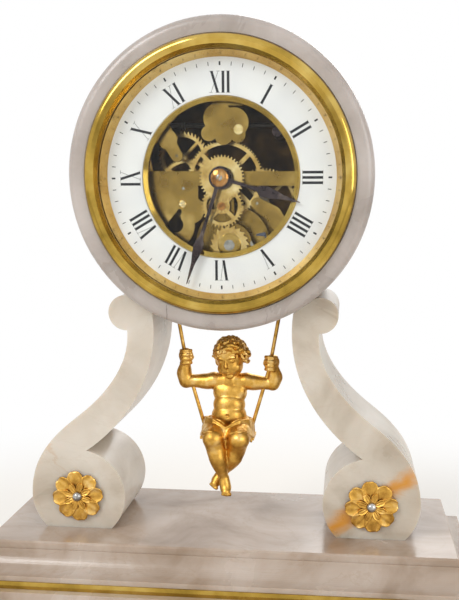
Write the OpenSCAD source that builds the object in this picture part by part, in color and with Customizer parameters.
// Boudoir clock: alabaster drum on two scrolled legs, with a putto on a swing as its pendulum.
// Front faces -Y, +Z is up, and the origin is at the middle of the footprint on the table.

/* [Base] */
// Width of the bottom slab
slab_w = 206; // [190:1:230]
// Depth of the bottom slab
slab_d = 94; // [84:1:110]
// Height of the bottom slab
slab_h = 17; // [12:1:24]
// Height of the small brass feet
feet_h = 6; // [4:0.5:10]
// Radius of the small brass feet
feet_r = 9; // [6:0.5:12]
// Height of the brass band
band_h = 3; // [2:0.5:5]
// Depth of the band behind its edge
band_w = 12; // [8:1:16]
// How far the slab stands out past the band
slab_step = 3; // [1:0.5:5]
// Height of the moulded plinth
plinth_h = 13; // [10:0.5:18]
// Radius of the plinth's cove
cove_r = 8; // [5:0.5:9]
// Height of the plinth's straight top edge
plinth_edge = 3; // [2:0.5:4]

/* [Legs] */
// Half the distance between the foot scrolls
foot_x = 58.5; // [55:0.5:62]
// Radius of a foot scroll
foot_r = 19; // [17:0.5:20]
// Height of the foot scroll's centre over the plinth
foot_rise = 13.6; // [12:0.2:15]
// Front face of the legs
leg_front = -18; // [-20:0.5:-15]
// Depth of the legs
leg_d = 38; // [34:1:42]
// Radius of the small upper scroll
curl_r = 6.8; // [6:0.1:7.5]
// Radius of a tie bolt
tie_r = 2; // [1.5:0.25:3]

/* [Drum] */
// Thickness of the drum's wall
drum_wall = 11.5; // [10:0.5:13.5]
// Depth of the drum
drum_d = 52; // [50:1:56]
// Height of the dial centre over the plinth
dial_rise = 138.2; // [136:0.2:142]
// Rounding of the drum's outer edges
drum_round = 3; // [1:0.5:4]
// Depth of the rebate that holds the bezel
rebate_d = 3; // [2:0.5:4]

/* [Dial] */
// Width of the bezel outside the glass
bezel_w = 4.1; // [3.6:0.1:5]
// Radius of the glass
glass_r = 45.4; // [45:0.1:46]
// Thickness of the glass
glass_t = 1; // [0.8:0.1:1.4]
// Width of the gilt slip between glass and enamel
slip_w = 3.1; // [2.6:0.1:3.8]
// Radius of the dial's opening
aperture_r = 29.2; // [28:0.1:30]
// Thickness of the dial plate
dial_t = 1.2; // [1:0.1:1.6]
// Distance of the enamel behind the drum's front
dial_sink = 5.5; // [5:0.1:6]
// Width of the brass lip in the opening
lip_w = 2; // [1.5:0.1:2.5]
// Length of the minute hand
minute_len = 40.7; // [36:0.5:42]
// Length of the hour hand
hour_len = 30.5; // [27:0.5:33]
// Minutes that the hands show at rest
minutes = 33; // [0:1:59]
// Hours that the hands show at rest
hours = 3; // [0:1:11]

/* [Movement] */
// Thickness of the movement's plates
plate_t = 1.8; // [1.5:0.1:2]
// Distance of the front plate behind the enamel
front_d = 7; // [6.8:0.1:7.4]
// Room between the plates
room_d = 25.7; // [25.6:0.1:27]
// Radius of the pillars
pillar_r = 2.2; // [1.6:0.1:2.6]
// Distance of the pillars from the plates' rim
pillar_in = 5.5; // [5:0.1:6]
// Thickness of a train wheel
wheel_t = 0.8; // [0.6:0.1:1]
// Radius of a train arbor
arbor_r = 0.7; // [0.5:0.05:0.8]
// Radial clearance of a running pivot
run = 0.05; // [0.03:0.01:0.09]

/* [Swing] */
// Half the distance between the rods at the hands
rod_hand_x = 16.8; // [16:0.1:18]
// Half the distance between the rods at the seat
rod_seat_x = 8.8; // [8:0.1:9.6]
// Radius of a swing rod
rod_r = 0.75; // [0.6:0.05:1]
// Height of the seat under the dial centre
seat_drop = 102; // [100:0.5:104]
// Swing of the putto to each side, in degrees
swing_deg = 6; // [4:0.5:7]

/* [Back] */
// Thickness of the brass back ring
ring_t = 2; // [1.5:0.1:3]
// Radius of the back door
door_r = 40.5; // [40:0.1:41]
// Thickness of the back door
door_t = 1.5; // [1:0.1:2]

/* [Hidden] */
$fn = 96;
small_fn = 32;
seat_gap = 0.1;
slab_z = feet_h;
band_z = slab_z + slab_h;
plinth_z = band_z + band_h;
plinth_top = plinth_z + plinth_h;
dial_z = plinth_top + dial_rise;
band_x = slab_w / 2 - slab_step;
band_y = slab_d / 2 - slab_step;
bore_r = glass_r - 0.9;
drum_r = bore_r + drum_wall;
bezel_r = glass_r + bezel_w;
enamel_r = glass_r - slip_w;
dial_r = bore_r - 0.6;
plate_r = bore_r - 2.5;
pillar_at = plate_r - pillar_in;
drum_front = -drum_d / 2;
drum_back = drum_d / 2;
enamel_y = drum_front + dial_sink;
plate_y = enamel_y + front_d;
back_y = plate_y + plate_t + room_d;
rebate_y = drum_front + rebate_d;
glass_y = enamel_y - 5.4;

// Helpers: flat shapes are drawn as seen from the front, x to the right and z up
module sheet(y0, y1) translate([0, y1, 0]) rotate([90, 0, 0]) linear_extrude(y1 - y0) children();
module works(y0, y1) translate([0, 0, dial_z]) sheet(y0, y1) children();
module spun(y0) translate([0, y0, dial_z]) rotate([90, 0, 0]) rotate_extrude() children();
module rod_y(at, y0, y1, r) works(y0, y1) translate(at) circle(r, $fn = small_fn);
module both() { children(); mirror([1, 0, 0]) children(); }
function bez(p, t) = p[0] * pow(1 - t, 3) + p[1] * 3 * t * pow(1 - t, 2) + p[2] * 3 * t * t * (1 - t)
    + p[3] * pow(t, 3);
function curve(p, n) = [for (i = [0:n]) bez(p, i / n)];
function polar(r, a) = [r * cos(a), r * sin(a)];
function backwards(l) = [for (i = [len(l) - 1:-1:0]) l[i]];

// Base
module plinth_side(half, len_y) {
    foot = half;
    top = half - cove_r - 0.5;
    sheet(-len_y, len_y) polygon(concat(
        [[-foot, plinth_z], [foot, plinth_z], [foot, plinth_top - plinth_edge - cove_r]],
        [for (a = [0:6:90]) [top + 0.5 + cove_r - cove_r * sin(a),
            plinth_top - plinth_edge - cove_r * cos(a)]],
        [[top, plinth_top - plinth_edge], [top, plinth_top - 0.6], [top - 0.6, plinth_top],
            [-top + 0.6, plinth_top], [-top, plinth_top - 0.6], [-top, plinth_top - plinth_edge]],
        [for (a = [90:-6:0]) [-top - 0.5 - cove_r + cove_r * sin(a),
            plinth_top - plinth_edge - cove_r * cos(a)]],
        [[-foot, plinth_top - plinth_edge - cove_r]]));
}
module tie_holes(r, z0, z1) both() translate([foot_x, 0, z0]) cylinder(r = r, h = z1 - z0, $fn = small_fn);
nut_room = 9;
nut_h = 3;
washer_h = 1;
nut_z = slab_z + 2;
foot_inset = 14;
module base_feet() color("goldenrod") for (x = [-1, 1], y = [-1, 1])
    translate([x * (slab_w / 2 - foot_inset), y * (slab_d / 2 - foot_inset), 0]) rotate_extrude()
        polygon([[0, 0], [feet_r - 2, 0], [feet_r - 0.6, 0.8], [feet_r, feet_h / 2],
            [feet_r - 0.6, feet_h - 1], [feet_r - 2, feet_h], [0, feet_h]]);
module base_slab() color("tan") difference() {
    union() {
        translate([-slab_w / 2, -slab_d / 2, slab_z]) cube([slab_w, slab_d, slab_h]);
        translate([-band_x + band_w + seat_gap, -band_y + band_w + seat_gap, band_z])
            cube([2 * (band_x - band_w - seat_gap), 2 * (band_y - band_w - seat_gap), band_h]);
    }
    tie_holes(tie_r + 0.4, slab_z - 1, plinth_z + 1);
    both() translate([foot_x, 0, slab_z - 1]) cylinder(r = nut_room, h = nut_h + washer_h + 3);
}
module brass_band() color("gold") difference() {
    translate([-band_x, -band_y, band_z]) cube([2 * band_x, 2 * band_y, band_h]);
    translate([-band_x + band_w, -band_y + band_w, band_z - 1])
        cube([2 * (band_x - band_w), 2 * (band_y - band_w), band_h + 2]);
}
module plinth() color("tan") difference() {
    intersection() {
        plinth_side(band_x - 0.5, slab_d);
        rotate([0, 0, 90]) plinth_side(band_y - 0.5, slab_w);
    }
    tie_holes(tie_r + 0.4, plinth_z - 1, plinth_top + 1);
}

// Legs, drawn from the dial centre: an S band between a small upper curl and a round foot
curl = [37.3, -50.5];
foot = [foot_x, foot_rise - dial_rise];
inner_edge = [[27, -50], [24, -75], [38, -95], [foot_x - 1.5, foot[1] + foot_r - 2]];
outer_top = [[curl[0] - 0.4, curl[1] - curl_r - 0.2], [36, -72], [48, -84.5], [57.8, -92.1]];
outer_low = [[57.8, -92.1], [67.5, -99.6], [foot[0] + foot_r, -109], [foot[0] + foot_r, foot[1]]];
module leg_outline() difference() {
    union() {
        translate(curl) circle(curl_r);
        translate(foot) circle(foot_r);
        polygon(concat(curve(inner_edge, 24), [foot], backwards(curve(outer_low, 16)),
            backwards(curve(outer_top, 16)), [curl, [curl[0] - 4, curl[1] + 6]]));
    }
    circle(drum_r + seat_gap, $fn = 192);
    translate([0, -dial_rise - 40]) square([200, 80], center = true);
}
dowel_dir = -56;
dowel_len = 12;
dowel_r = 1.5;
module dowel(r, a, b) both() translate([0, leg_front + leg_d / 2, dial_z]) rotate([0, -dowel_dir + 90, 0])
    translate([0, 0, drum_r - a]) cylinder(r = r, h = a + b, $fn = small_fn);
module leg() difference() {
    works(leg_front, leg_front + leg_d) leg_outline();
    translate([foot_x, 0, plinth_top - 1]) cylinder(r = tie_r + 0.1, h = 17, $fn = small_fn);
    dowel(dowel_r + seat_gap, 1, dowel_len / 2 + 0.5);
    translate([foot_x, leg_front - 1, dial_z + foot[1]]) rotate([-90, 0, 0])
        cylinder(r = stud_r + seat_gap, h = 8, $fn = small_fn);
}
module left_leg() color("wheat") mirror([1, 0, 0]) leg();
module right_leg() color("wheat") leg();
module tie_bolts() color("gray") both() translate([foot_x, 0, nut_z]) cylinder(r = tie_r,
    h = plinth_top + 14 - nut_z, $fn = small_fn);
module tie_nuts() color("dimgray") both() translate([foot_x, 0, 0]) {
    translate([0, 0, nut_z + nut_h]) difference() {
        cylinder(r = 7, h = washer_h);
        translate([0, 0, -1]) cylinder(r = tie_r + 0.2, h = 4, $fn = small_fn);
    }
    translate([0, 0, nut_z]) difference() {
        cylinder(r = 4.6, h = nut_h, $fn = 6);
        translate([0, 0, -1]) cylinder(r = tie_r + 0.05, h = nut_h + 2, $fn = small_fn);
    }
}
module drum_dowels() color("gray") dowel(dowel_r, dowel_len / 2, dowel_len / 2);

// Rosettes: eight pointed petals round a domed boss, each held by a steel stud
stud_r = 1.2;
rosette_r = 10;
petals = 8;
module petal_ring(len, wide, t, turn) for (i = [0:petals - 1]) rotate([0, 0, 360 / petals * i + turn])
    linear_extrude(t) polygon([[1, -0.9], [len * 0.5, -wide], [len * 0.8, -wide * 0.72], [len, 0],
        [len * 0.8, wide * 0.72], [len * 0.5, wide], [1, 0.9]]);
module rosette() translate([foot_x, leg_front, dial_z + foot[1]]) rotate([90, 0, 0]) difference() {
    union() {
        petal_ring(rosette_r, 3.1, 1.2, 0);
        petal_ring(rosette_r * 0.72, 2.2, 1.9, 360 / petals / 2);
        cylinder(r = 3, h = 2.3, $fn = small_fn);
    }
    translate([0, 0, -1]) cylinder(r = stud_r + seat_gap, h = 5, $fn = small_fn);
}
module left_rosette() color("goldenrod") mirror([1, 0, 0]) rosette();
module right_rosette() color("goldenrod") rosette();
module rosette_studs() color("silver") both() translate([foot_x, leg_front, dial_z + foot[1]])
    rotate([90, 0, 0]) {
        translate([0, 0, -6]) cylinder(r = stud_r, h = 8.4, $fn = small_fn);
        translate([0, 0, 2.35]) intersection() {
            translate([0, 0, -0.9]) sphere(r = 2.1, $fn = small_fn);
            cylinder(r = 3, h = 3, $fn = small_fn);
        }
    }

// Drum
function rod_x(z) = hand_x + (rod_top_x - hand_x) * (z + hand_drop) / (staff_at[1] + hand_drop);
slot_half = 11;
module drum() color("lightgray") difference() {
    slot_x0 = rod_x(-drum_r) - 2.5;
    slot_x1 = rod_x(4.5 - bore_r) + 2;
    spun(drum_back) difference() {
        union() {
            translate([bore_r, drum_round]) square([drum_r - bore_r, drum_d - 2 * drum_round]);
            translate([bore_r, 0]) square([drum_r - bore_r - drum_round, drum_d]);
            for (h = [drum_round, drum_d - drum_round]) translate([drum_r - drum_round, h])
                circle(drum_round, $fn = small_fn);
        }
        translate([0, drum_d - rebate_d]) square([bezel_r + 0.2, rebate_d + 1]);
    }
    both() translate([slot_x0, -slot_half, dial_z - drum_r - 5]) cube([slot_x1 - slot_x0, 2 * slot_half, 30]);
    dowel(dowel_r + seat_gap, dowel_len / 2 + 0.5, 1);
}

// Dial, bezel and glass; revolved profiles are radius against distance in front of a plane
ring_seat = rebate_y;
glass_back = ring_seat - glass_y - glass_t;
glass_front = ring_seat - glass_y;
bezel_crown = glass_r + 0.44 * bezel_w;
module bezel() color("gold") spun(ring_seat) polygon(concat(
    [[glass_r + 0.1, 0], [bezel_r, 0], [bezel_r, 2.9]],
    [for (a = [10:10:80]) [bezel_crown + (bezel_r - bezel_crown) * cos(a), 2.9 + 2.7 * sin(a)]],
    [[bezel_crown, 5.6], [bezel_crown - 1.6, 5.2], [glass_r - 1, glass_front + 0.7],
        [glass_r - 1, glass_front], [glass_r + 0.1, glass_front]]));
slip_lip = bore_r - 0.3;
module bezel_slip() color("goldenrod") spun(ring_seat) polygon([[glass_r, glass_back - 0.05],
    [glass_r - 1.2, glass_back - 0.05], [enamel_r, ring_seat - enamel_y + 0.05],
    [slip_lip, ring_seat - enamel_y + 0.05], [slip_lip, 0], [glass_r, 0]]);
module glass() color("azure", 0.3) spun(ring_seat) translate([0, glass_back])
    square([glass_r, glass_t - 0.02]);
module dial() color("white") spun(enamel_y + dial_t) translate([aperture_r, 0])
    square([dial_r - aperture_r, dial_t]);
module dial_inner_ring() color("gold") spun(enamel_y + dial_t + 1.2) polygon([
    [aperture_r - lip_w, 0], [aperture_r + 2, 0], [aperture_r + 2, 1.15], [aperture_r - seat_gap, 1.15],
    [aperture_r - seat_gap, dial_t + 1.2], [aperture_r - 0.5, dial_t + 2], [aperture_r - lip_w, dial_t + 1]]);
dial_feet_at = plate_r - 4;
module dial_feet() color("gold") for (a = [105, 225, 345])
    rod_y(polar(dial_feet_at, a), enamel_y + dial_t, plate_y, 1.5);

// Hands: a slim stem that swells to a leaf and ends in a point
hand_t = 0.6;
hour_hand_d = -1.6;
minute_hand_d = -2.9;
hour_bush = 2.6;
cannon_pipe = 1.8;
hour_angle = 90 - hours * 30 - minutes / 2;
minute_angle = 90 - minutes * 6;
module hand_shape(len, leaf_from, wide, hub, bore) difference() {
    union() {
        circle(hub, $fn = 48);
        polygon([[0, 0.75], [leaf_from * 0.75, 0.55], [leaf_from, 0.8], [leaf_from + 1.5, wide * 0.42],
            [leaf_from + 3.5, wide / 2], [leaf_from + 6.5, wide * 0.4], [leaf_from + 10, wide * 0.2],
            [len, 0.15], [len, -0.15], [leaf_from + 10, -wide * 0.2], [leaf_from + 6.5, -wide * 0.4],
            [leaf_from + 3.5, -wide / 2], [leaf_from + 1.5, -wide * 0.42], [leaf_from, -0.8],
            [leaf_from * 0.75, -0.55], [0, -0.75]]);
    }
    circle(bore, $fn = small_fn);
}
module hour_hand() color("midnightblue") works(enamel_y + hour_hand_d, enamel_y + hour_hand_d + hand_t)
    rotate(hour_angle) hand_shape(hour_len, 14, 4.2, 4.2, hour_bush);
module minute_hand() color("midnightblue") works(enamel_y + minute_hand_d, enamel_y + minute_hand_d + hand_t)
    rotate(minute_angle) hand_shape(minute_len, 22.5, 3.7, 3.6, cannon_pipe);
nut_r = 3.2;
module hand_nut() color("peru") spun(enamel_y + minute_hand_d) difference() {
    intersection() {
        translate([0, -5.4]) circle(6.6, $fn = 64);
        square([nut_r, 2]);
    }
    square([centre_front_r + 0.02, 0.7]);
}

// Gears: flat-topped teeth with rounded shoulders, m is the module in mm
function pitch_r(n, m) = n * m / 2;
function tooth(n, m, a, share) = [for (s = [[-0.56, -1.25], [-0.5, -0.35], [-0.46, 0], [-0.3, 0.5], [-0.12, 0.85],
    [0.12, 0.85], [0.3, 0.5], [0.46, 0], [0.5, -0.35], [0.56, -1.25]])
    polar(pitch_r(n, m) + s[1] * m, a + s[0] * share * 360 / n)];
module gear(n, m, turn, share = 0.4) rotate(turn) polygon([for (i = [0:n - 1]) each tooth(n, m, i * 360 / n, share)]);
module spokes(n, rim, hub, wide) difference() {
    circle(rim, $fn = 96);
    difference() {
        circle(rim, $fn = 96);
        circle(hub, $fn = 48);
        for (i = [0:n - 1]) rotate(i * 360 / n + 45) translate([0, -wide / 2]) square([rim + 1, wide]);
    }
}
module crossed(n, m, turn, spoke_n, rim_w, hub, bore, at) translate(at) difference() {
    union() {
        difference() {
            gear(n, m, turn);
            circle(pitch_r(n, m) - 1.25 * m - rim_w, $fn = 96);
        }
        spokes(spoke_n, pitch_r(n, m) - 1.25 * m - rim_w + 0.1, hub, hub * 0.5);
    }
    circle(bore, $fn = small_fn);
}

// Train: the places of the arbors follow from the tooth counts
centre_n = 80;
centre_m = 0.355;
third_pinion_n = 8;
third_n = 80;
third_m = 0.28;
escape_pinion_n = 6;
centre_pinion_n = 10;
mid_n = 60;
mid_m = 0.45;
mid_pinion_n = 12;
barrel_n = 72;
barrel_m = 0.44;
third_dir = 193.9;
third_at = polar(pitch_r(centre_n + third_pinion_n, centre_m), third_dir);
escape_dir = 100;
escape_at = third_at + polar(pitch_r(third_n + escape_pinion_n, third_m), escape_dir);
mid_dir = -35.4;
mid_at = polar(pitch_r(mid_n + centre_pinion_n, mid_m), mid_dir);
barrel_dir = 236.5;
barrel_at = mid_at + polar(pitch_r(barrel_n + mid_pinion_n, barrel_m), barrel_dir);
escape_tip = 10;
escape_n = 40;
pallet_r = 1.8;
pallet_gap = 0.3;
staff_at = [0, escape_at[1] + escape_tip + pallet_gap + pallet_r];
centre_front_r = 1;
function depth(d) = enamel_y + d;
module pinned(at, d0, d1, r, pin_r) {
    rod_y(at, depth(d0), depth(d1), r);
    rod_y(at, plate_y + 0.2, depth(d0) + 0.01, pin_r);
    rod_y(at, depth(d1) - 0.01, back_y + plate_t - 0.2, pin_r);
}
pin_r = 0.5;
arbor_d0 = front_d + plate_t + 0.3;
arbor_d1 = front_d + plate_t + room_d - 0.3;
centre_d = 13;
third_d = 16.2;
escape_d0 = 18.8;
escape_d1 = 21.4;
module centre_wheel() color("gold") works(depth(centre_d), depth(centre_d + wheel_t))
    crossed(centre_n, centre_m, third_dir, 4, 1.3, 3.2, 1.2, [0, 0]);
module centre_arbor() color("silver") {
    rod_y([0, 0], depth(arbor_d0), depth(30), 1.2);
    rod_y([0, 0], depth(30) - 0.01, depth(arbor_d1), 1.2);
    rod_y([0, 0], depth(arbor_d1) - 0.01, back_y + plate_t - 0.2, 0.8);
    rod_y([0, 0], enamel_y + minute_hand_d - 0.6, depth(arbor_d0) + 0.01, centre_front_r);
    works(depth(30), depth(33)) gear(centre_pinion_n, mid_m, mid_dir + 180 / centre_pinion_n);
}
module third_arbor() color("silver") {
    pinned(third_at, arbor_d0, arbor_d1, arbor_r, pin_r);
    works(depth(12), depth(15)) translate(third_at)
        gear(third_pinion_n, centre_m, third_dir + 180 + 180 / third_pinion_n, 0.36);
}
module third_wheel() color("gold") works(depth(third_d), depth(third_d + wheel_t))
    crossed(third_n, third_m, escape_dir, 4, 1.1, 2.4, arbor_r, third_at);
module escape_arbor() color("silver") {
    pinned(escape_at, arbor_d0, arbor_d1, 0.6, pin_r);
    works(depth(15.2), depth(18)) translate(escape_at)
        gear(escape_pinion_n, third_m, escape_dir + 180 + 180 / escape_pinion_n, 0.34);
}
module escape_wheels() color("gold") for (w = [[escape_d0, 0], [escape_d1, 180 / escape_n]])
    works(depth(w[0]), depth(w[0] + wheel_t)) translate(escape_at) difference() {
        union() {
            difference() {
                rotate(w[1]) polygon([for (i = [0:escape_n - 1]) each [polar(escape_tip - 1.3, i * 360 / escape_n),
                    polar(escape_tip, (i + 0.55) * 360 / escape_n), polar(escape_tip - 1.3,
                        (i + 0.7) * 360 / escape_n)]]);
                circle(escape_tip - 2.4, $fn = 96);
            }
            spokes(4, escape_tip - 2.3, 2, 1);
        }
        circle(0.6, $fn = small_fn);
    }
module intermediate_arbor() color("silver") {
    pinned(mid_at, arbor_d0, arbor_d1, 0.9, pin_r);
    works(depth(26.4), depth(30)) translate(mid_at)
        gear(mid_pinion_n, barrel_m, barrel_dir + 180 / mid_pinion_n, 0.38);
}
module intermediate_wheel() color("gold") works(depth(31), depth(31 + wheel_t))
    crossed(mid_n, mid_m, mid_dir + 180, 4, 1.2, 2.6, 0.9, mid_at);

// Barrel with its cover, spring, arbor and ratchet
barrel_r = 14.4;
barrel_d0 = 14.8;
barrel_d1 = 27;
barrel_wall = 0.9;
barrel_arbor_r = 2;
hub_r = 4.6;
ratchet_n = 20;
ratchet_d = 4.9;
ratchet_t = 1.4;
module barrel() color("gold") {
    works(depth(barrel_d0 + 1), depth(barrel_d1)) translate(barrel_at) difference() {
        circle(barrel_r);
        circle(barrel_r - barrel_wall);
    }
    works(depth(barrel_d1) - 0.01, depth(barrel_d1 + 1.6)) translate(barrel_at) difference() {
        gear(barrel_n, barrel_m, barrel_dir + 180);
        circle(barrel_arbor_r + run, $fn = small_fn);
    }
}
module barrel_cover() color("goldenrod") works(depth(barrel_d0), depth(barrel_d0 + 1)) translate(barrel_at)
    difference() {
        circle(barrel_r);
        circle(barrel_arbor_r + run, $fn = small_fn);
    }
spring_turns = 5;
spring_t = 0.4;
function coil(r0, r1, side) = [for (i = [0:24 * spring_turns])
    polar(r0 + (r1 - r0) * i / (24 * spring_turns) + side, i * 15)];
module mainspring() color("slategray") works(depth(barrel_d0 + 1.3), depth(barrel_d1 - 0.3)) translate(barrel_at)
    polygon(concat(coil(hub_r + 0.3, barrel_r - barrel_wall - 0.6, 0),
        backwards(coil(hub_r + 0.3, barrel_r - barrel_wall - 0.6, spring_t))));
module barrel_arbor() color("slategray") {
    rod_y(barrel_at, enamel_y + ratchet_d - 1.2, depth(arbor_d1 + 0.2), barrel_arbor_r);
    rod_y(barrel_at, depth(barrel_d0 + 1.2), depth(barrel_d1 - 0.2), hub_r - 0.1);
    works(depth(arbor_d1 + 0.19), back_y + plate_t + 7) translate(barrel_at)
        rotate(45) square(2 * 0.68 * barrel_arbor_r, center = true);
}
module ratchet_wheel() color("silver") works(depth(ratchet_d), depth(ratchet_d + ratchet_t)) translate(barrel_at)
    difference() {
        polygon([for (i = [0:ratchet_n - 1]) each [polar(6.3, i * 360 / ratchet_n),
            polar(7.5, (i + 0.12) * 360 / ratchet_n)]]);
        circle(barrel_arbor_r, $fn = small_fn);
    }
click_at = barrel_at + [11.4, -3.2];
module click() color("silver") works(depth(ratchet_d), depth(ratchet_d + ratchet_t)) difference() {
    union() {
        translate(click_at) circle(1.4, $fn = 48);
        polygon([click_at + [-0.6, 1.25], barrel_at + [8.05, 1.7], barrel_at + [7.75, 0.4], click_at + [-1.3, -0.4]]);
    }
    translate(click_at) circle(0.8 + run, $fn = small_fn);
}
module click_spring() color("slategray") works(depth(ratchet_d + 0.2), depth(ratchet_d + 1.2)) difference() {
    polygon(concat([for (a = [-60:10:20]) barrel_at + polar(14.2, a)],
        [barrel_at + [10.2, 4.2], barrel_at + [9.9, 3.6]],
        [for (a = [14:-10:-56]) barrel_at + polar(13.6, a)], [barrel_at + polar(12.4, -60)]));
}

// Motion work: the cannon pinion drives the minute wheel, whose pinion drives the hour wheel
cannon_n = 12;
minute_n = 36;
minute_m = 0.425;
minute_pinion_n = 10;
hour_n = 40;
hour_m = 0.408;
minute_dir = -90;
minute_d = 3.8;
minute_at = polar(pitch_r(cannon_n + minute_n, minute_m), minute_dir);
module cannon_pinion() color("silver") difference() {
    union() {
        works(depth(minute_d - 0.3), depth(minute_d + wheel_t + 0.3)) gear(cannon_n, minute_m, minute_dir + 180 / cannon_n, 0.38);
        rod_y([0, 0], enamel_y + minute_hand_d, depth(6), cannon_pipe);
    }
    rod_y([0, 0], enamel_y - 6, depth(7), centre_front_r);
}
module minute_wheel() color("gold") difference() {
    union() {
        works(depth(minute_d), depth(minute_d + wheel_t))
            crossed(minute_n, minute_m, minute_dir + 180, 4, 1.2, 2.9, 1, minute_at);
        works(depth(2.2), depth(minute_d) + 0.01) translate(minute_at)
            gear(minute_pinion_n, hour_m, minute_dir + 180 + 180 / minute_pinion_n, 0.38);
    }
    rod_y(minute_at, depth(2), depth(7), 0.9 + run);
}
module minute_stud() color("silver") {
    rod_y(minute_at, depth(1.9), plate_y + plate_t, 0.9);
    rod_y(minute_at, depth(minute_d + wheel_t + 0.2), plate_y, 1.6);
    rod_y(minute_at, depth(1.2), depth(1.9) + 0.01, 1.5);
}
module hour_wheel() color("gold") difference() {
    union() {
        works(depth(2.4), depth(3.2)) difference() {
            gear(hour_n, hour_m, minute_dir);
            circle(hour_bush, $fn = small_fn);
        }
        rod_y([0, 0], enamel_y + hour_hand_d, depth(3.2), hour_bush);
    }
    rod_y([0, 0], enamel_y - 6, depth(7), cannon_pipe + run);
}

// Plates, pillars, cocks and screws
pillar_dirs = [60, 120, 240, 305];
post_at = [20, 17];
plate_ring = 33;
screw_r = 0.9;
module pillar_holes(r) for (a = pillar_dirs) translate(polar(pillar_at, a)) circle(r, $fn = small_fn);
module front_plate() color("gold") works(plate_y, plate_y + plate_t) difference() {
    union() {
        difference() {
            circle(plate_r);
            circle(plate_ring);
        }
        difference() {
            translate([-plate_ring - 1, -2.6]) square([2 * plate_ring + 2, 5.2]);
            translate([26, -3]) square([2, 0.4]);
        }
        intersection() {
            circle(plate_ring + 1);
            union() {
                translate([-plate_ring, -14]) square([23.5, 12]);
                translate([-20.5, -17.2]) circle(9.5);
                translate([-12.6, -11.6]) circle(5.2);
                translate([-30, -20]) square([12, 12]);
            }
        }
        translate([-3.4, -plate_ring - 1]) square([7.4, plate_ring]);
        translate(barrel_at) circle(8.2);
    }
    translate([-18.2, -17.2]) circle(2.9);
    hull() {
        translate([-18.2, -15.8]) circle(1.9, $fn = small_fn);
        translate([-16.8, -12.2]) circle(0.9, $fn = small_fn);
    }
    translate(third_at) circle(pin_r + run, $fn = small_fn);
    circle(centre_front_r + run, $fn = small_fn);
    translate(barrel_at) circle(barrel_arbor_r + run, $fn = small_fn);
    translate(minute_at) circle(0.9 + 0.01, $fn = small_fn);
    pillar_holes(screw_r + seat_gap);
    translate(bridge_foot) circle(screw_r + seat_gap, $fn = small_fn);
    translate(left_foot) circle(screw_r + seat_gap, $fn = small_fn);
    translate(upper_foot) circle(screw_r + seat_gap, $fn = small_fn);
    translate(click_at) circle(0.8 + 0.01, $fn = small_fn);
}
module back_plate() color("gold") works(back_y, back_y + plate_t) difference() {
    circle(plate_r);
    for (at = [third_at, escape_at, mid_at]) translate(at) circle(pin_r + run, $fn = small_fn);
    circle(0.8 + run, $fn = small_fn);
    translate(barrel_at) circle(barrel_arbor_r * 0.97 + run, $fn = small_fn);
    pillar_holes(screw_r + seat_gap);
    for (s = [-1, 1]) translate([s * bracket_screw_x, staff_at[1]]) circle(screw_r + seat_gap, $fn = small_fn);
}
module pillars() color("gold") {
    for (a = pillar_dirs) works(plate_y + plate_t, back_y) translate(polar(pillar_at, a)) difference() {
        circle(pillar_r, $fn = small_fn);
        circle(screw_r + seat_gap, $fn = small_fn);
    }
    works(plate_y + plate_t, back_y) translate(post_at) difference() {
        circle(pillar_r, $fn = small_fn);
        circle(screw_r + seat_gap, $fn = small_fn);
    }
}
module screw(at, y, len, head = 1.9) {
    works(y - 1, y) translate(at) difference() {
        circle(head, $fn = small_fn);
        rotate(at[0] * 17) square([0.35, 2 * head + 1], center = true);
    }
    rod_y(at, y - 0.5, y + len, screw_r);
}
module pillar_screws() color("midnightblue") {
    for (a = pillar_dirs) {
        screw(polar(pillar_at, a), plate_y, 9);
        translate([0, 2 * back_y + 2 * plate_t, 0]) mirror([0, 1, 0])
            screw(polar(pillar_at, a), back_y + plate_t, 9);
    }
    screw(post_at, plate_y + plate_t, 7);
}
upper_foot = [2, 36.6];
left_foot = [-25.4, 26.4];
bridge_foot = [26.4, -24.6];
cock_t = 1.5;
boss_r = 1.7;
cock_y = plate_y - cock_t;
module upper_cock() color("gold") works(cock_y, plate_y) difference() {
    union() {
        translate([-3.5, 26]) square([11, 14]);
        translate([-1.5, 21.5]) circle(5.6);
        translate([4.2, 20]) circle(5.4);
        translate([-5.2, 16.2]) circle(2.8);
        translate([0.3, 15.2]) circle(3.2);
        translate([5.6, 15.8]) circle(2.9);
    }
    translate(upper_foot) circle(screw_r + seat_gap, $fn = small_fn);
    translate([6, 17.5]) circle(screw_r, $fn = small_fn);
    difference() {
        circle(plate_r + 8);
        circle(plate_r - 0.5);
    }
}
module left_cock() color("gold") {
    works(cock_y, plate_y) difference() {
        union() {
            translate(left_foot) circle(4);
            hull() {
                translate(left_foot + [0, -2]) circle(3.2, $fn = small_fn);
                translate([-21.5, 15.5]) circle(3.2, $fn = small_fn);
            }
            translate([-20.6, 14]) circle(3.6);
            hull() {
                translate([-19.5, 12]) circle(2.4, $fn = small_fn);
                translate(escape_at) circle(boss_r + 0.5, $fn = small_fn);
            }
        }
        translate(left_foot) circle(screw_r + seat_gap, $fn = small_fn);
        translate(escape_at) circle(0.9, $fn = small_fn);
    }
    works(cock_y, plate_y + plate_t) translate(escape_at) difference() {
        circle(boss_r, $fn = small_fn);
        circle(pin_r + run, $fn = small_fn);
    }
}
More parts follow.
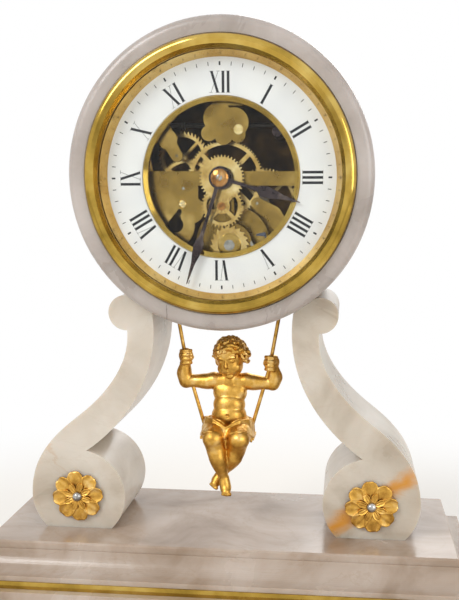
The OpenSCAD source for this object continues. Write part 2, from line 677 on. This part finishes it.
module bridge() color("gold") {
    works(cock_y, plate_y) difference() {
        union() {
            translate(bridge_foot) circle(4);
            hull() {
                translate([19, -13]) circle(3, $fn = small_fn);
                translate(mid_at) circle(boss_r + 0.5, $fn = small_fn);
            }
            hull() {
                translate([19, -13]) circle(3, $fn = small_fn);
                translate(bridge_foot) circle(3, $fn = small_fn);
            }
        }
        translate(bridge_foot) circle(screw_r + seat_gap, $fn = small_fn);
        translate(mid_at) circle(0.9, $fn = small_fn);
    }
    works(cock_y, plate_y + plate_t) translate(mid_at) difference() {
        circle(boss_r, $fn = small_fn);
        circle(pin_r + run, $fn = small_fn);
    }
}
module movement_screws() color("midnightblue") {
    for (at = [upper_foot, left_foot, bridge_foot]) screw(at, cock_y, cock_t + plate_t + 0.5);
    works(enamel_y + ratchet_d - 1, enamel_y + ratchet_d - 0.1) translate(click_at) circle(1.3, $fn = small_fn);
    rod_y(click_at, enamel_y + ratchet_d - 0.2, plate_y + plate_t, 0.8);
    works(cock_y - 0.9, cock_y) translate([6, 17.5]) circle(1.8, $fn = small_fn);
    rod_y([6, 17.5], cock_y - 0.5, cock_y + cock_t, screw_r - 0.02);
}

// Rocking arbor of the swing, with its D-shaped pallet between the two escape wheels
bracket_t = 1.4;
bracket_half = 3;
bracket_x = sqrt(pow(bore_r - 1, 2) - pow(staff_at[1] + bracket_half, 2)) - bracket_t;
bracket_screw_x = bracket_x - 5.9;
rod_top_x = bracket_x - 2.4;
staff_r = 0.8;
staff_pin = 0.5;
rod_hub = 2;
staff_z = dial_z + staff_at[1];
module along_x(x0, x1, r) translate([x0, 0, staff_z]) rotate([0, 90, 0]) cylinder(r = r, h = x1 - x0, $fn = small_fn);
module rocking_arbor() color("silver") {
    along_x(-bracket_x + 0.3, bracket_x - 0.3, staff_r);
    along_x(-bracket_x - bracket_t - 0.2, bracket_x + bracket_t + 0.2, staff_pin);
}
module pallet() color("slategray") difference() {
    along_x(escape_at[0] - 0.6, escape_at[0] + 0.6, pallet_r);
    along_x(escape_at[0] - 2, escape_at[0] + 2, staff_r);
    translate([escape_at[0] - 2, -pallet_r - 1, staff_z + staff_r + 0.4]) cube([4, 2 * pallet_r + 2, 3]);
}
module arbor_brackets() color("gold") both() difference() {
    union() {
        translate([bracket_x, -bracket_half, staff_z - bracket_half])
            cube([bracket_t, back_y + bracket_half, 2 * bracket_half]);
        translate([bracket_x - 8.4, back_y - bracket_t, staff_z - bracket_half])
            cube([8.5, bracket_t, 2 * bracket_half]);
    }
    along_x(bracket_x - 1, bracket_x + bracket_t + 1, staff_pin + run);
    rod_y([bracket_screw_x, staff_at[1]], back_y - 5, back_y + 1, screw_r + seat_gap);
}
module bracket_screws() color("midnightblue") for (s = [-1, 1])
    screw([s * bracket_screw_x, staff_at[1]], back_y - bracket_t, bracket_t + plate_t);

// Swing: rods from the arbor to the hands and on to the seat
putto_k = (seat_drop - drum_r) / 46;
hand_drop = seat_drop - 28 * putto_k;
hand_x = rod_hand_x * putto_k;
seat_x = rod_seat_x * putto_k;
hand_z = dial_z - hand_drop;
seat_z = dial_z - seat_drop;
module strut(a, b, r) {
    d = b - a;
    len = norm(d);
    translate(a) rotate([0, acos(d[2] / len), atan2(d[1], d[0])]) cylinder(r = r, h = len, $fn = small_fn);
}
rod_bend = [hand_x, 0, hand_z];
rod_end = [seat_x, 0, seat_z];
module swing_rods() color("goldenrod") both() difference() {
    union() {
        along_x(rod_top_x - 1.2, rod_top_x + 1.2, rod_hub);
        strut([rod_top_x, 0, staff_z - 0.9], rod_bend, rod_r);
        translate(rod_bend) sphere(rod_r + 0.15, $fn = small_fn);
        strut(rod_bend, rod_end, rod_r);
    }
    along_x(rod_top_x - 3, rod_top_x + 3, staff_r);
}
seat_t = 1.2;
seat_front = 5;
module swing_seat() color("goldenrod") difference() {
    translate([-seat_x - 2.2, -seat_front, seat_z - seat_t - 0.01])
        cube([2 * seat_x + 4.4, 2 * seat_front, seat_t]);
}

// Putto, seated with crossed shins, elbows out and a fist round each rod; it fills the room under the drum
skin_fn = 14;
curls = 9;
module ball(at, r) translate([at[0] * putto_k, at[1] * putto_k, seat_z + at[2] * putto_k])
    sphere(r * putto_k, $fn = skin_fn);
module limb(a, ra, b, rb) hull() { ball(a, ra); ball(b, rb); }
module leg_of_putto(hip, knee, ankle, toe) {
    limb(hip, 4.8, knee, 3.6);
    limb(knee, 3.5, ankle, 1.9);
    limb(ankle, 1.9, toe, 1.4);
}
module arm_of_putto(shoulder, elbow, fist) {
    limb(shoulder, 3.2, elbow, 2.9);
    limb(elbow, 3, fist, 2.2);
    ball(fist, 2.8);
}
module putto() color("goldenrod") difference() {
    union() {
        limb([0.3, 1, 5.2], 6.4, [0.5, 0, 13], 5.6);
        limb([0.5, 0, 13], 5.6, [0.8, 0.3, 18], 5.2);
        limb([-5, 0.4, 20.2], 3.2, [6.4, 0.4, 20.2], 3.2);
        limb([0.8, 0.4, 21], 2.8, [0.9, -0.3, 26], 2.8);
        limb([0.9, -1.4, 28.6], 4.4, [1, 0, 32.4], 6.2);
        for (i = [0:curls - 1]) ball([1 + 5 * cos(i * 360 / curls), 5 * sin(i * 360 / curls), 35], 2.4);
        arm_of_putto([-6, 0.4, 20.4], [-17.6, 0.8, 20.6], [-16.9, -0.2, 31.2]);
        arm_of_putto([7.4, 0.4, 20.4], [18, 0.8, 20.6], [17, -0.2, 30.2]);
        leg_of_putto([-4.2, -0.5, 4.9], [-4.9, -12.5, 1.4], [-0.9, -10.2, -17], [0.4, -12.8, -22.4]);
        leg_of_putto([4.8, -0.5, 4.9], [6.3, -12.3, 1.3], [-2.6, -4.6, -16.2], [-4.8, -6.6, -20.2]);
    }
    both() {
        strut([rod_top_x, 0, staff_z - 0.9], rod_bend, rod_r + seat_gap);
        strut(rod_bend, rod_end + 0.1 * (rod_end - rod_bend), rod_r + seat_gap);
        translate(rod_bend) sphere(rod_r + 0.15 + seat_gap, $fn = small_fn);
    }
    translate([-30, -seat_front - 0.1, seat_z - seat_t - 0.1]) cube([60, 2 * seat_front + 0.2, seat_t + 0.15]);
}

// Back: ring, hinged door, and the two straps that draw the movement against the ring
ring_in = 38.5;
ring_out = 49;
hinge_x = -46;
hinge_y = drum_back + ring_t + 2.4;
knuckle_r = 1.7;
knuckle_h = 8;
pin_r2 = 0.8;
strap_at = bore_r - 1.5;
strap_w = 7;
strap_end = 2.4;
module hinge_knuckle(z0, z1, bore) translate([hinge_x, hinge_y, dial_z + z0]) difference() {
    cylinder(r = knuckle_r, h = z1 - z0, $fn = small_fn);
    translate([0, 0, -1]) cylinder(r = bore, h = z1 - z0 + 2, $fn = small_fn);
}
module back_ring() color("gold") {
    difference() {
        translate([0, drum_back + ring_t, 0]) spun(0) translate([ring_in, 0]) square([ring_out - ring_in, ring_t]);
        for (s = [-1, 1]) rod_y([0, s * strap_at], drum_back - 1, drum_back + ring_t + 1, 0.7);
    }
    for (z0 = [-knuckle_h * 1.5, knuckle_h / 2]) {
        hinge_knuckle(z0, z0 + knuckle_h, pin_r2 + 0.01);
        translate([hinge_x - knuckle_r, drum_back + ring_t - 0.01, dial_z + z0])
            cube([2 * knuckle_r, hinge_y - pin_r2 - 0.3 - drum_back - ring_t, knuckle_h]);
    }
}
door_y = drum_back + ring_t + 0.3;
module back_door() color("gold") {
    works(door_y, door_y + door_t) difference() {
        circle(door_r);
        translate(barrel_at) circle(4, $fn = small_fn);
    }
    hinge_knuckle(-knuckle_h / 2 + 0.15, knuckle_h / 2 - 0.15, pin_r2 + run);
    translate([hinge_x + pin_r2 + 0.3, door_y, dial_z - knuckle_h / 2 + 0.15])
        cube([9, door_t, knuckle_h - 0.3]);
    works(door_y + door_t - 0.01, door_y + door_t + 3) translate([door_r - 5, 0]) circle(2.2, $fn = small_fn);
}
module hinge_pin() color("silver") translate([hinge_x, hinge_y, dial_z - knuckle_h * 1.5 - 0.5])
    cylinder(r = pin_r2, h = 3 * knuckle_h + 1, $fn = small_fn);
module straps() color("gold") for (s = [-1, 1]) {
    difference() {
        union() {
            translate([-strap_w / 2, enamel_y + dial_t + 0.02, dial_z + s * (plate_r + 1.35) - 0.65])
                cube([strap_w, drum_back - enamel_y - dial_t - 0.02, 1.3]);
            translate([-strap_w / 2, drum_back - 6, dial_z + s * strap_at - strap_end / 2])
                cube([strap_w, 6, strap_end]);
        }
        rod_y([0, s * strap_at], drum_back - 5, drum_back + 1, 0.7);
    }
    rod_y([0, s * strap_at], drum_back - 4.5, drum_back + ring_t + 0.5, 0.65);
    rod_y([0, s * strap_at], drum_back + ring_t, drum_back + ring_t + 1.4, 1.9);
}

base_feet();
base_slab();
brass_band();
plinth();
left_leg();
right_leg();
drum();
left_rosette();
right_rosette();
rosette_studs();
tie_bolts();
tie_nuts();
drum_dowels();
bezel();
bezel_slip();
glass();
dial();
dial_inner_ring();
dial_feet();
front_plate();
back_plate();
pillars();
pillar_screws();
barrel();
barrel_cover();
mainspring();
barrel_arbor();
ratchet_wheel();
click();
click_spring();
movement_screws();
intermediate_wheel();
intermediate_arbor();
centre_wheel();
centre_arbor();
cannon_pinion();
minute_wheel();
minute_stud();
hour_wheel();
hour_hand();
minute_hand();
hand_nut();
third_wheel();
third_arbor();
escape_wheels();
escape_arbor();
upper_cock();
left_cock();
bridge();
rocking_arbor();
pallet();
arbor_brackets();
bracket_screws();
swing_rods();
swing_seat();
putto();
back_ring();
back_door();
hinge_pin();
straps();
